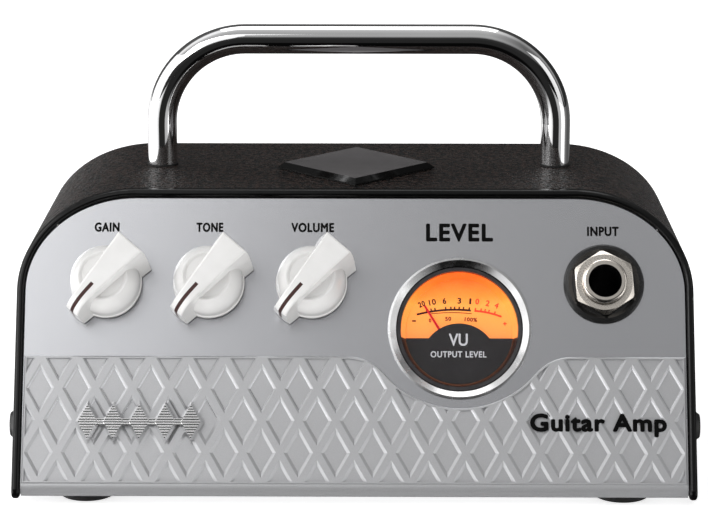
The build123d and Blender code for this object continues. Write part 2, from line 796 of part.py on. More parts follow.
save(power_switch, "power_switch")

with BuildPart() as power_rocker:
    rocker_spot = power_seat.from_local_coords((0, 0, rocker_pivot))
    side_view = Plane(origin=rocker_spot, x_dir=(0, 0, 1), z_dir=(1, 0, 0))
    with BuildSketch(side_view):
        with Locations(Location((0, 0), rocker_turn)):
            Polygon((-7.2, -3.0), (0, -1.4), (7.2, -3.0), (6.6, 1.5), (0, 3.0), (-6.6, 1.5), align=None)
    extrude(amount=rocker_half, both=True)
    with BuildSketch(side_view):
        Circle(stub_radius)
    extrude(amount=5.9, both=True)
save(power_rocker, "power_rocker")

# ---- two slide switches; each slider's button stands out through the panel ----
slide_travel = 2.6
button_across, button_tall = 2.3, 3.2
with BuildPart() as slide_switches:
    for x in switch_x.values():
        seat = face_spot(back, x, rear_row, -chassis_sheet)
        with BuildSketch(seat):
            Rectangle(7.8, 19.6)
            with GridLocations(1, switch_screw_spacing, 1, 2):
                Circle(1.05, mode=Mode.SUBTRACT)
        extrude(amount=-0.7)
        with BuildSketch(seat.offset(-0.7)):
            Rectangle(7.4, 12.4)
        extrude(amount=-5.5)
        with BuildSketch(seat):
            Rectangle(3.0, 6.4)
        extrude(amount=-0.7, mode=Mode.SUBTRACT)
        with BuildSketch(seat.offset(-0.7)):
            Rectangle(5.4, 8.4)
        extrude(amount=-3.0, mode=Mode.SUBTRACT)
        with BuildSketch(seat.offset(-6.2)):
            with GridLocations(1, 3.8, 1, 3):
                Rectangle(3, 0.5)
        extrude(amount=-3)
save(slide_switches, "slide_switches")

for label, x in switch_x.items():
    seat = face_spot(back, x, rear_row - slide_travel / 2, -chassis_sheet)
    with BuildPart() as slider:
        with BuildSketch(seat.offset(-1.05)):
            Rectangle(4.7, 4.8)
        extrude(amount=-2.3)
        with BuildSketch(seat.offset(-1.05)):
            Rectangle(button_across, button_tall)
        extrude(amount=1.05 + chassis_sheet + 2.0)
        fillet(slider.faces().sort_by(Axis.Y)[-1].edges(), 0.4)
    save(slider, f"{label}_slider")

with BuildPart() as switch_screws:
    for x in switch_x.values():
        with BuildSketch(face_spot(back, x, rear_row)):
            with GridLocations(1, switch_screw_spacing, 1, 2):
                Circle(1.9)
        extrude(amount=0.9, taper=25)
        with BuildSketch(face_spot(back, x, rear_row)):
            with GridLocations(1, switch_screw_spacing, 1, 2):
                Circle(1.0)
        extrude(amount=-4.0)
        with BuildSketch(face_spot(back, x, rear_row, 0.9)):
            with GridLocations(1, switch_screw_spacing, 1, 2):
                Rectangle(1.8, 0.4)
                Rectangle(0.4, 1.8)
        extrude(amount=-0.5, mode=Mode.SUBTRACT)
save(switch_screws, "switch_screws")

# ---- boards inside ----
floor_top = floor_gap + chassis_sheet
standoff_height = 6.0
board_bottom = floor_top + standoff_height
board_thickness = 1.6
board_top = board_bottom + board_thickness
tube_height = 12.0         # the tube stands this far above the main board
with BuildPart() as board_standoffs:
    with BuildSketch(Plane.XY.offset(floor_top)):
        with Locations(board_middle):
            with GridLocations(board_hole_x, board_hole_y, 2, 2):
                RegularPolygon(2.9, 6)
                Circle(1.3, mode=Mode.SUBTRACT)
    extrude(amount=standoff_height)
save(board_standoffs, "board_standoffs")

with BuildPart() as main_board:
    with BuildSketch(Plane.XY.offset(board_bottom)):
        with Locations(board_middle):
            RectangleRounded(104, 36, 2)
            with GridLocations(board_hole_x, board_hole_y, 2, 2):
                Circle(1.6, mode=Mode.SUBTRACT)
    extrude(amount=board_thickness)
save(main_board, "main_board")

with BuildPart() as board_screws:
    for head, shank in ((floor_gap, 3.5), (board_top, -3.5)):
        with BuildSketch(Plane.XY.offset(head)):
            with Locations(board_middle):
                with GridLocations(board_hole_x, board_hole_y, 2, 2):
                    Circle(2.5)
        extrude(amount=-1.4 if shank > 0 else 1.4)
        with BuildSketch(Plane.XY.offset(head)):
            with Locations(board_middle):
                with GridLocations(board_hole_x, board_hole_y, 2, 2):
                    Circle(1.25)
        extrude(amount=shank)
save(board_screws, "board_screws")

with BuildPart() as control_board:
    with BuildSketch(face_spot(panel, knob_x["tone"], knob_row - 1, -8)):
        Rectangle(58, 17)
    extrude(amount=-board_thickness)
save(control_board, "control_board")

cable_start = panel.from_local_coords((0, knob_row - 6, -8 - board_thickness))
cable_turn = panel.from_local_coords((0, knob_row - 6, -14))
with BuildPart() as flat_cable:
    with BuildSketch(Plane.YZ.offset(knob_x["tone"])):
        with BuildLine():
            FilletPolyline(
                (cable_start.Y, cable_start.Z),
                (cable_turn.Y, cable_turn.Z),
                (cable_turn.Y, board_top),
                radius=2.5,
            )
            offset(amount=0.6, side=Side.LEFT)
        make_face()
    extrude(amount=9, both=True)
save(flat_cable, "flat_cable")

with BuildPart() as tube_carrier:
    with BuildSketch(Plane(origin=(0, window_y, board_top))):
        with GridLocations(22, 11, 2, 2):
            Circle(1.0)
    extrude(amount=tube_height - 1.2)
    with BuildSketch(Plane(origin=(0, window_y, board_top + tube_height - 1.2))):
        RectangleRounded(28, 16, 1)
    extrude(amount=1.2)
save(tube_carrier, "tube_carrier")

with BuildPart() as tube_module:
    with BuildSketch(Plane(origin=(0, window_y, board_top + tube_height))):
        RectangleRounded(24, 13, 1.5)
    extrude(amount=4.0)
    fillet(tube_module.faces().sort_by(Axis.Z)[-1].edges(), 0.8)
save(tube_module, "tube_module")

with BuildPart() as capacitors:
    with BuildSketch(Plane.XY.offset(board_top)):
        with Locations((-24, 12), (-35, 12), (24, 10), (33, 5), (22, -4)):
            Circle(3.5)
    extrude(amount=7.5)
    fillet(capacitors.edges().group_by(Axis.Z)[-1], 0.5)
save(capacitors, "capacitors")
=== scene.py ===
import json
import math

import bmesh
import bpy
from mathutils import Matrix, Vector


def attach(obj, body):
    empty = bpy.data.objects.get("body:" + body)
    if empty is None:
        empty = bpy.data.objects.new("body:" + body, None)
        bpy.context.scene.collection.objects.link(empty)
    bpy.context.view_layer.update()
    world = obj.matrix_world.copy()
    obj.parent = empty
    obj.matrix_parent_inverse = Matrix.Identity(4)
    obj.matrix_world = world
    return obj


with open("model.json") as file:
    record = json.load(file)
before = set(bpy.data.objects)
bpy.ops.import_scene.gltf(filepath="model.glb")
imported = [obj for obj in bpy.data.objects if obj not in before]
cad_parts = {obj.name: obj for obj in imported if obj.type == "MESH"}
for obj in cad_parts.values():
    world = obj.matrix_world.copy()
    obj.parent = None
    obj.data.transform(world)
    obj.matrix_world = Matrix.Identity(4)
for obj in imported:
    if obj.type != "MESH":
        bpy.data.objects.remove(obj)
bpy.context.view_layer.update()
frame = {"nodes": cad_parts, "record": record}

MM = 0.001

# ---- places on the sloped panel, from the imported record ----
# JACK_X, JACK_UP and JACK_MIDDLE say where the jack's mount lies from the middle of the panel's
# foot, in mm: across, up the slope and out. Lengths are in mm up to the floor and the lights.
mounts = {mount["name"]: mount for mount in frame["record"]["mounts"]}
PANEL_OUT = Vector(mounts["input_jack"]["axis"]).normalized()
PANEL_X = Vector((1, 0, 0))
PANEL_UP = PANEL_OUT.cross(PANEL_X)
JACK_X, JACK_UP, JACK_MIDDLE = 48.5, 42.5, -11.0
PANEL_ORIGIN = (
    Vector(mounts["input_jack"]["pos_m"])
    - MM * (JACK_X * PANEL_X + JACK_UP * PANEL_UP + JACK_MIDDLE * PANEL_OUT)
)
METER_X, METER_UP = 20.4, 33.7


def on_panel(x, up, height=0.0):
    """A point of the sloped panel: across, up the slope and out of it, in mm."""
    return PANEL_ORIGIN + MM * (x * PANEL_X + up * PANEL_UP + height * PANEL_OUT)


def on_meter(x, up, height=0.0):
    """A point of the meter, from its middle."""
    return on_panel(METER_X + x, METER_UP + up, height)


# ---- materials ----
SCRATCH_DEPTH = 0.006


class Paint:
    """A Principled material with object coordinates in millimetres to hang textures on."""

    def __init__(self, name, **sockets):
        self.material = bpy.data.materials.new(name)
        self.material.use_nodes = True
        self.tree = self.material.node_tree
        self.tree.nodes.clear()
        self.shader = self.add("ShaderNodeBsdfPrincipled")
        output = self.add("ShaderNodeOutputMaterial")
        self.link(self.shader.outputs["BSDF"], output.inputs["Surface"])
        for socket, value in sockets.items():
            self.shader.inputs[socket.replace("_", " ")].default_value = value
        metres = self.add("ShaderNodeTexCoord").outputs["Object"]
        scale = self.add("ShaderNodeVectorMath", operation="SCALE")
        scale.inputs["Scale"].default_value = 1 / MM
        self.link(metres, scale.inputs[0])
        self.place = scale.outputs["Vector"]
        self.normal = None

    def add(self, kind, **settings):
        node = self.tree.nodes.new(kind)
        for key, value in settings.items():
            setattr(node, key, value)
        return node

    def link(self, source, target):
        self.tree.links.new(source, target)

    def noise(self, scale, detail, place=None, roughness=0.5):
        """A cloudy grey; the scale is in cycles per millimetre."""
        node = self.add("ShaderNodeTexNoise")
        node.inputs["Scale"].default_value = scale
        node.inputs["Detail"].default_value = detail
        node.inputs["Roughness"].default_value = roughness
        self.link(place or self.place, node.inputs["Vector"])
        return node.outputs["Fac"]

    def cells(self, scale, smooth):
        """Rounded cells."""
        node = self.add("ShaderNodeTexVoronoi", feature="SMOOTH_F1")
        node.inputs["Scale"].default_value = scale
        node.inputs["Smoothness"].default_value = smooth
        self.link(self.place, node.inputs["Vector"])
        return node.outputs["Distance"]

    def scratches(self):
        """A noise drawn out along X and Z."""
        node = self.add("ShaderNodeVectorMath", operation="MULTIPLY")
        node.inputs[1].default_value = (1, 6, 1)
        self.link(self.place, node.inputs[0])
        return self.noise(3, 5, place=node.outputs["Vector"])

    def fit(self, value, low, high, to_low, to_high):
        """A value mapped from one range to another, clamped."""
        node = self.add("ShaderNodeMapRange")
        limits = {"From Min": low, "From Max": high, "To Min": to_low, "To Max": to_high}
        for key, number in limits.items():
            node.inputs[key].default_value = number
        self.link(value, node.inputs["Value"])
        return node.outputs["Result"]

    def math(self, operation, first, second=0.0):
        """One operation on links or numbers."""
        node = self.add("ShaderNodeMath", operation=operation)
        for index, item in enumerate((first, second)):
            if isinstance(item, (int, float)):
                node.inputs[index].default_value = item
            else:
                self.link(item, node.inputs[index])
        return node.outputs["Value"]

    def ramp(self, value, stops):
        """Colours along a value: stops are (position, (r, g, b))."""
        node = self.add("ShaderNodeValToRGB")
        elements = node.color_ramp.elements
        while len(elements) < len(stops):
            elements.new(0.5)
        for element, (position, colour) in zip(elements, stops):
            element.position = position
            element.color = (*colour, 1)
        self.link(value, node.inputs["Fac"])
        return node.outputs["Color"]

    def mix(self, factor, first, second):
        """The first colour at factor 0, the second at 1."""
        node = self.add("ShaderNodeMix", data_type="RGBA")
        self.link(factor, node.inputs["Factor"])
        for name, item in (("A", first), ("B", second)):
            target = [s for s in node.inputs if s.name == name and s.type == "RGBA"][0]
            if isinstance(item, tuple):
                target.default_value = (*item, 1)
            else:
                self.link(item, target)
        return [s for s in node.outputs if s.type == "RGBA"][0]

    def colour(self, source):
        self.link(source, self.shader.inputs["Base Color"])

    def roughness(self, source):
        self.link(source, self.shader.inputs["Roughness"])

    def shine(self, source, strength):
        """Makes the surface give off light of this colour."""
        self.link(source, self.shader.inputs["Emission Color"])
        self.shader.inputs["Emission Strength"].default_value = strength

    def bump(self, height, depth, strength=1.0):
        """Adds a bump of this depth in mm on top of those already there."""
        node = self.add("ShaderNodeBump")
        node.inputs["Distance"].default_value = depth * MM
        node.inputs["Strength"].default_value = strength
        self.link(height, node.inputs["Height"])
        if self.normal:
            self.link(self.normal, node.inputs["Normal"])
        self.normal = node.outputs["Normal"]
        self.link(self.normal, self.shader.inputs["Normal"])

    def along(self, origin, direction):
        """How far a point lies from an origin along a direction, in mm."""
        shift = self.add("ShaderNodeVectorMath", operation="SUBTRACT")
        shift.inputs[1].default_value = tuple(origin / MM)
        self.link(self.place, shift.inputs[0])
        dot = self.add("ShaderNodeVectorMath", operation="DOT_PRODUCT")
        dot.inputs[1].default_value = tuple(direction)
        self.link(shift.outputs["Vector"], dot.inputs[0])
        return dot.outputs["Value"]

    def radius(self, origin, first, second):
        """Distance from an axis, given two directions square to it."""
        a = self.along(origin, first)
        b = self.along(origin, second)
        squares = self.math("MULTIPLY", a, a), self.math("MULTIPLY", b, b)
        return self.math("SQRT", self.math("ADD", *squares))


# A noise stays mostly between LOW and HIGH: colours and gloss are spread over that range.
LOW, HIGH = 0.3, 0.7


def speckled(name, dark, light, scale, rough, grain=0.01, **sockets):
    """A plain finish: two near colours in a noise, uneven gloss and a fine grain."""
    paint = Paint(name, **sockets)
    cloud = paint.noise(scale, 4)
    paint.colour(paint.ramp(cloud, [(LOW, dark), (HIGH, light)]))
    gloss = paint.noise(scale * 0.6, 3)
    paint.roughness(paint.fit(gloss, LOW, HIGH, rough * 0.85, rough * 1.15))
    paint.bump(paint.noise(scale * 9, 3), grain)
    return paint.material


# Heights above the panel's plane: the hood is smooth over the upper one, wrinkled under the lower.
WRINKLED_UNDER, SMOOTH_OVER = -0.7, -0.4


def powder_coat():
    """Black wrinkle coat: ridges about a millimetre apart, smooth along the front edge. The ridges
    get painted highlight on the crests and painted shade in the valleys.
    """
    paint = Paint("wrinkle_coat", Specular_IOR_Level=0.27)
    height = paint.along(PANEL_ORIGIN, PANEL_OUT)
    inner = paint.fit(height, WRINKLED_UNDER, SMOOTH_OVER, 1, 0)
    ridges = paint.noise(0.8, 4, roughness=0.6)
    pores = paint.cells(1.7, 0.7)
    # Painted highlight and shade: the colour follows the ridges, lighter on the crests and darker
    # in the valleys.
    valley, crest = (0.0005, 0.0003, 0.0003), (0.028, 0.0165, 0.0130)
    ridge_shade = paint.ramp(ridges, [(0.47, valley), (0.54, crest)])
    paint.colour(paint.mix(inner, (0.002, 0.002, 0.002), ridge_shade))
    uneven = paint.fit(paint.noise(0.9, 2), LOW, HIGH, -0.05, 0.05)
    paint.roughness(paint.math("ADD", uneven, paint.fit(inner, 0, 1, 0.2, 0.27)))
    paint.bump(paint.math("MULTIPLY", inner, ridges), 1.3, 1.0)
    paint.bump(paint.math("MULTIPLY", inner, pores), 0.3, 0.8)
    return paint.material


# The flat panel is satin. The sheet is duller where it lies PRESSED or more off the panel's plane,
# and below PATTERN_FOOT, measured up the slope.
PATTERN_FOOT = 16.0
PRESSED = 0.03


def satin_silver():
    """Silver lacquer: satin on the upper panel, duller and coarser where the sheet is pressed."""
    paint = Paint("satin_silver")
    height = paint.math("ABSOLUTE", paint.along(PANEL_ORIGIN, PANEL_OUT))
    pressed = paint.fit(height, PRESSED, PRESSED + 0.02, 0, 1)
    up = paint.along(PANEL_ORIGIN, PANEL_UP)
    low = paint.fit(up, PATTERN_FOOT, PATTERN_FOOT + 0.1, 1, 0)
    dull = paint.math("MAXIMUM", pressed, low)
    flake = paint.noise(14, 2)
    fine = paint.ramp(flake, [(0.35, (0.53, 0.535, 0.558)), (0.65, (0.61, 0.615, 0.638))])
    coarse = paint.ramp(flake, [(0.35, (0.46, 0.462, 0.474)), (0.65, (0.54, 0.542, 0.554))])
    paint.colour(paint.mix(dull, fine, coarse))
    paint.link(paint.fit(dull, 0, 1, 0.92, 0.52), paint.shader.inputs["Metallic"])
    gloss = paint.fit(paint.noise(0.7, 3), LOW, HIGH, -0.02, 0.02)
    paint.roughness(paint.math("ADD", gloss, paint.fit(dull, 0, 1, 0.25, 0.38)))
    paint.bump(flake, 0.004, 0.5)
    return paint.material


def chrome(name, tint=0.88, rough=0.04):
    """Bright plating with the faintest haze and polishing marks."""
    paint = Paint(name, Metallic=1.0)
    haze = paint.noise(0.12, 4)
    dark, light = (tint - 0.03,) * 3, (tint, tint, tint + 0.01)
    paint.colour(paint.ramp(haze, [(LOW, dark), (HIGH, light)]))
    paint.roughness(paint.fit(paint.noise(0.5, 4), 0.35, HIGH, rough, rough * 1.8))
    paint.bump(paint.noise(0.35, 3), 0.004, 0.5)
    return paint.material


RIB_PITCH = 0.5


def ribbed_chrome():
    """Bright plating over fine level ribs, like an engraved emblem."""
    paint = Paint("badge_chrome", Metallic=1.0)
    haze = paint.noise(0.3, 3)
    paint.colour(paint.ramp(haze, [(LOW, (0.84, 0.84, 0.84)), (HIGH, (0.90, 0.90, 0.90))]))
    paint.roughness(paint.fit(haze, LOW, HIGH, 0.14, 0.24))
    up = paint.along(PANEL_ORIGIN, PANEL_UP)
    wave = paint.math("MULTIPLY", up, 2 * math.pi / RIB_PITCH)
    paint.bump(paint.fit(paint.math("SINE", wave), -1, 1, 0, 1), 0.06)
    return paint.material


def nickel(name, rough, dark=(0.60, 0.59, 0.57), light=(0.74, 0.73, 0.71)):
    """Plated steel, turned: fine scratches and uneven gloss."""
    paint = Paint(name, Metallic=1.0)
    scratches = paint.scratches()
    paint.colour(paint.ramp(scratches, [(LOW, dark), (HIGH, light)]))
    paint.roughness(paint.fit(scratches, LOW, HIGH, rough * 0.8, rough * 1.3))
    paint.bump(scratches, SCRATCH_DEPTH)
    return paint.material


# From the jack's axis: black up to the first radius, plated from the second.
BORE_RADIUS, PLATED_RADIUS = 3.22, 3.3


def jack_metal(name, origin, first, second):
    """Nickel outside, black inside the bore."""
    paint = Paint(name)
    out = paint.radius(origin, first, second)
    plated = paint.fit(out, BORE_RADIUS, PLATED_RADIUS, 0, 1)
    scratches = paint.scratches()
    metal = paint.ramp(scratches, [(LOW, (0.74, 0.69, 0.62)), (HIGH, (0.86, 0.80, 0.73))])
    paint.colour(paint.mix(plated, (0.006, 0.006, 0.006), metal))
    paint.link(plated, paint.shader.inputs["Metallic"])
    paint.roughness(paint.fit(scratches, LOW, HIGH, 0.16, 0.26))
    paint.bump(scratches, SCRATCH_DEPTH)
    return paint.material


def white_plastic():
    """Moulded white gloss plastic, slightly milky, with a soft orange peel."""
    coat = {"Coat_Weight": 0.25, "Coat_Roughness": 0.05}
    paint = Paint("white_plastic", Specular_IOR_Level=0.55, **coat)
    cloud = paint.noise(0.25, 3)
    dark, light = (0.75, 0.743, 0.733), (0.80, 0.793, 0.783)
    paint.colour(paint.ramp(cloud, [(LOW, dark), (HIGH, light)]))
    paint.roughness(paint.fit(paint.noise(0.8, 3), LOW, HIGH, 0.14, 0.22))
    paint.bump(paint.noise(0.45, 2), 0.01, 0.5)
    return paint.material


UPWARD = Vector((0, 0, 1))
window_node = frame["nodes"]["tube_window"]
window_points = [window_node.matrix_world @ v.co for v in window_node.data.vertices]
WINDOW_TOP = max(point.z for point in window_points) / MM


def smoked():
    """Polished smoked plastic: the bevels round the flat face get painted shade, near black, and
    only the face keeps the paler smoke.
    """
    paint = Paint("smoked_plastic", Specular_IOR_Level=0.5)
    cloud = paint.noise(0.3, 3)
    pale = paint.ramp(cloud, [(LOW, (0.104, 0.098, 0.100)), (HIGH, (0.128, 0.121, 0.123))])
    height = paint.along(Vector((0, 0, 0)), UPWARD)
    flat = paint.fit(height, WINDOW_TOP - 0.04, WINDOW_TOP - 0.02, 0, 1)
    # Painted shade: the bevels are near black, and only the flat face has the paler smoke colour.
    paint.colour(paint.mix(flat, (0.004, 0.004, 0.004), pale))
    paint.roughness(paint.fit(paint.noise(1.2, 4), LOW, HIGH, 0.05, 0.10))
    paint.bump(paint.noise(0.2, 2), 0.004, 0.5)
    return paint.material


def lens():
    """Clear plastic: mostly see-through, with a polished face."""
    paint = Paint("clear_lens", Alpha=0.12, Specular_IOR_Level=0.6)
    haze = paint.noise(0.3, 3)
    paint.colour(paint.ramp(haze, [(LOW, (0.03, 0.03, 0.03)), (HIGH, (0.05, 0.05, 0.05))]))
    paint.roughness(paint.fit(haze, LOW, HIGH, 0.03, 0.06))
    paint.bump(paint.noise(0.2, 2), 0.003, 0.5)
    return paint.material


# Painted amber glow up the dial, as shares of the height from GLOW_FOOT to GLOW_TOP, from the
# meter's middle.
GLOW_FOOT, GLOW_TOP = -2, 10.5
GLOW_STOPS = [
    (0.00, (0.98, 0.30, 0.075)),
    (0.30, (1.00, 0.33, 0.065)),
    (0.58, (1.00, 0.36, 0.060)),
    (0.72, (1.00, 0.26, 0.030)),
    (1.00, (1.00, 0.13, 0.008)),
]


def glow(name, strength, masked):
    """Painted glow standing in for amber light from behind: palest by the scale, deepest at the
    top, with painted shade (black) under a mask.
    """
    paint = Paint(name, Roughness=0.5)
    up = paint.along(on_meter(0, 0), PANEL_UP)
    height = paint.fit(up, GLOW_FOOT, GLOW_TOP, 0, 1)
    cloud = paint.fit(paint.noise(0.35, 3), LOW, HIGH, -0.03, 0.03)
    amber = paint.ramp(paint.math("ADD", height, cloud), GLOW_STOPS)
    if masked:
        # Painted shade: below the mask's edge the ring is black instead of glowing.
        lit = paint.fit(up, -1.6, -1.4, 0, 1)
        amber = paint.mix(lit, (0.012, 0.004, 0.003), amber)
    paint.colour(amber)
    paint.shine(amber, strength)
    paint.bump(paint.noise(6, 2), 0.003)
    return paint.material


def print_ink(name, dark, light, glowing=0.0, gloss=0.3):
    """Printed ink: a slightly uneven film; with glowing above zero the ink also gets a painted
    glow.
    """
    paint = Paint(name, Specular_IOR_Level=gloss)
    cover = paint.noise(5, 3)
    ink = paint.ramp(cover, [(LOW, dark), (HIGH, light)])
    paint.colour(ink)
    paint.roughness(paint.fit(cover, LOW, HIGH, 0.35, 0.5))
    paint.bump(cover, 0.002)
    if glowing:
        paint.shine(ink, glowing)
    return paint.material


def laminate():
    """Green circuit board with copper showing through as lighter tracks."""
    paint = Paint("laminate", Roughness=0.35)
    tracks = paint.add("ShaderNodeTexBrick")
    tracks.inputs["Scale"].default_value = 0.25
    tracks.inputs["Mortar Size"].default_value = 0.04
    tracks.inputs["Color1"].default_value = (0.012, 0.10, 0.035, 1)
    tracks.inputs["Color2"].default_value = (0.016, 0.12, 0.04, 1)
    tracks.inputs["Mortar"].default_value = (0.06, 0.24, 0.09, 1)
    paint.link(paint.place, tracks.inputs["Vector"])
    paint.colour(tracks.outputs["Color"])
    paint.bump(tracks.outputs["Fac"], 0.03)
    return paint.material


finishes = {
    "hood": powder_coat(),
    "chassis": satin_silver(),
    "handle": chrome("handle_chrome"),
    "bezel": chrome("bezel_chrome", 0.70, 0.18),
    "badge": ribbed_chrome(),
    "knob": white_plastic(),
    "window": smoked(),
    "lens": lens(),
    "dial": glow("lit_dial", 1.0, False),
    "light_ring": glow("lit_ring", 0.9, True),
    "mask": speckled("mask_print", (0.020, 0.017, 0.020), (0.026, 0.022, 0.025), 0.8, 0.5),
    # The needle's red ink gets a painted glow.
    "needle": print_ink("needle_red", (0.70, 0.012, 0.02), (0.80, 0.016, 0.028), 0.35),
    "black_screw": speckled("black_oxide", (0.018,) * 3, (0.035, 0.034, 0.033), 1.5, 0.35),
    "inner_steel": nickel("zinc_plate", 0.3),
    "washer": speckled("washer_rubber", (0.012,) * 3, (0.022,) * 3, 2, 0.6, 0.02),
    "foot": speckled("foot_rubber", (0.010,) * 3, (0.022, 0.021, 0.021), 1.2, 0.65, 0.03),
    "pot": nickel("pot_steel", 0.35),
    "shaft": nickel("shaft_metal", 0.25),
    "pointer_line": print_ink(
        "pointer_line_brown", (0.045, 0.016, 0.014), (0.060, 0.022, 0.019)),
    "meter_case": speckled(
        "case_grey", (0.035, 0.033, 0.035), (0.055, 0.052, 0.055), 0.6, 0.2, 0.005,
        Metallic=0.3),
    "magnet": speckled("magnet_iron", (0.07,) * 3, (0.12,) * 3, 1, 0.6, 0.02),
    "lamp": speckled("lamp_board", (0.65, 0.60, 0.45), (0.75, 0.70, 0.55), 1, 0.5),
    "jack_nut": nickel("nut_nickel", 0.26, (0.76, 0.71, 0.64), (0.88, 0.82, 0.75)),
    "jack_washer": speckled("washer_black", (0.008,) * 3, (0.014,) * 3, 1, 0.25, 0.004),
    "lug": speckled(
        "tinned_brass", (0.55, 0.50, 0.38), (0.66, 0.61, 0.48), 2, 0.35, Metallic=1.0),
    "inlet": speckled("inlet_black", (0.012,) * 3, (0.020,) * 3, 1, 0.3),
    "switch_frame": speckled("frame_black", (0.012,) * 3, (0.020,) * 3, 1.2, 0.35),
    "rocker": speckled("rocker_black", (0.010,) * 3, (0.017,) * 3, 0.8, 0.2, 0.003),
    "slide_switch": nickel("switch_steel", 0.3),
    "slider": speckled("slider_black", (0.012,) * 3, (0.022,) * 3, 1.5, 0.4),
    "board": laminate(),
    "standoff": speckled(
        "standoff_brass", (0.60, 0.42, 0.16), (0.70, 0.52, 0.22), 1.5, 0.3, Metallic=1.0),
    "flat_cable": speckled("cable_grey", (0.32, 0.32, 0.33), (0.40, 0.40, 0.41), 1.5, 0.5),
    "tube": speckled("tube_glass", (0.30, 0.42, 0.42), (0.40, 0.52, 0.52), 0.5, 0.06, 0.003),
    "capacitor": speckled("capacitor_sleeve", (0.01, 0.015, 0.05), (0.02, 0.03, 0.08), 1, 0.3),
}

# Each jack is black inside its own bore: the mount with its axis, and two directions across it.
jack_axes = {
    "input_jack": ("input_jack", PANEL_X, PANEL_UP),
    "speaker_jack": ("speaker_out", PANEL_X, UPWARD),
    "line_jack": ("line_out", PANEL_X, UPWARD),
}


def dress(piece, material):
    """Gives a piece its one material."""
    piece.data.materials.clear()
    piece.data.materials.append(material)


for part in frame["record"]["subparts"]:
    node = part["node"]
    if node in jack_axes:
        mount, first, second = jack_axes[node]
        origin = Vector(mounts[mount]["pos_m"])
        dress(frame["nodes"][node], jack_metal(f"{node}_metal", origin, first, second))
    else:
        dress(frame["nodes"][node], finishes[part["material_slot"]])


# ---- printing: thin films of ink just clear of what they are printed on, built as meshes ----
def printed(name, data, material):
    """A printed piece from its mesh."""
    piece = bpy.data.objects.new(name, data)
    bpy.context.collection.objects.link(piece)
    dress(piece, material)
    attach(piece, "base")


def film(name, faces, place, material):
    """A printed piece from flat polygons: each is a list of (x, up) points in mm."""
    mesh = bmesh.new()
    for outline in faces:
        mesh.faces.new([mesh.verts.new(place(x, up)) for x, up in outline])
    data = bpy.data.meshes.new(name)
    mesh.to_mesh(data)
    mesh.free()
    printed(name, data, material)


# Bold letters are copies of the thin ones round a small circle, each a step higher than the last.
BOLD_COPIES = 8
COPY_STEP = 0.0008


def lettering(name, words, middle, size, place, material, weight=0.0, turn=0.0,
              spacing=1.0):
    """Words fitted to a width and height in mm, thickened by weight and turned by degrees."""
    curve = bpy.data.curves.new(name, "FONT")
    curve.body = words
    curve.resolution_u = 4
    curve.space_character = spacing
    holder = bpy.data.objects.new(name + "_curve", curve)
    bpy.context.collection.objects.link(holder)
    graph = bpy.context.evaluated_depsgraph_get()
    letters = bpy.data.meshes.new_from_object(holder.evaluated_get(graph))
    bpy.data.objects.remove(holder)
    xs = [v.co.x for v in letters.vertices]
    ys = [v.co.y for v in letters.vertices]
    across = (size[0] - 2 * weight) / (max(xs) - min(xs))
    tall = (size[1] - 2 * weight) / (max(ys) - min(ys))
    centre = Vector(((max(xs) + min(xs)) / 2, (max(ys) + min(ys)) / 2))
    spin = Matrix.Rotation(math.radians(turn), 2)
    points = []
    faces = []
    for copy in range(BOLD_COPIES if weight else 1):
        angle = 2 * math.pi * copy / BOLD_COPIES
        shift = weight * Vector((math.cos(angle), math.sin(angle)))
        start = len(points)
        for v in letters.vertices:
            letter = Vector(((v.co.x - centre.x) * across, (v.co.y - centre.y) * tall))
            flat = spin @ letter + shift
            points.append(place(middle[0] + flat.x, middle[1] + flat.y, COPY_STEP * copy))
        faces += [[start + index for index in face.vertices] for face in letters.polygons]
    data = bpy.data.meshes.new(name)
    data.from_pydata(points, [], faces)
    bpy.data.meshes.remove(letters)
    printed(name, data, material)


def circle_through(a, b, c):
    """Centre and radius of the circle through three points."""
    ax, ay = a
    bx, by = b
    cx, cy = c
    d = 2 * (ax * (by - cy) + bx * (cy - ay) + cx * (ay - by))
    aa, bb, cc = ax * ax + ay * ay, bx * bx + by * by, cx * cx + cy * cy
    ux = (aa * (by - cy) + bb * (cy - ay) + cc * (ay - by)) / d
    uy = (aa * (cx - bx) + bb * (ax - cx) + cc * (bx - ax)) / d
    return (ux, uy), math.hypot(ax - ux, ay - uy)


def arc_strip(a, b, c, width, steps=24):
    """Quads along the arc from a through b to c."""
    (ux, uy), radius = circle_through(a, b, c)
    start = math.atan2(a[1] - uy, a[0] - ux)
    end = math.atan2(c[1] - uy, c[0] - ux)
    quads = []
    for i in range(steps):
        t0 = start + (end - start) * i / steps
        t1 = start + (end - start) * (i + 1) / steps
        inner, outer = radius - width / 2, radius + width / 2
        quads.append([
            (ux + r * math.cos(t), uy + r * math.sin(t))
            for r, t in ((inner, t0), (inner, t1), (outer, t1), (outer, t0))
        ])
    return quads


def tick(x, circle, reach, width):
    """One tick out from an arc at a given x, in line with the arc's centre."""
    (ux, uy), radius = circle
    angle = math.acos((x - ux) / radius)
    c, s = math.cos(angle), math.sin(angle)
    near, far, h = radius, radius + reach, width / 2
    return [
        (ux + r * c - k * s, uy + r * s + k * c)
        for r, k in ((near, -h), (far, -h), (far, h), (near, h))
    ]


# Heights of the films above the panel's plane: on the panel, over the pressed pattern, on the dial
# and on the mask in front of the dial.
PANEL_FILM, PATTERN_FILM, DIAL_FILM, MASK_FILM = 0.03, 0.33, -3.87, -2.72


def panel_print(x, up, lift=0.0):
    return on_panel(x, up, PANEL_FILM + lift)


def pattern_print(x, up, lift=0.0):
    return on_panel(x, up, PATTERN_FILM + lift)


def dial_print(x, up, lift=0.0):
    return on_meter(x, up, DIAL_FILM + lift)


def mask_print(x, up, lift=0.0):
    return on_meter(x, up, MASK_FILM + lift)
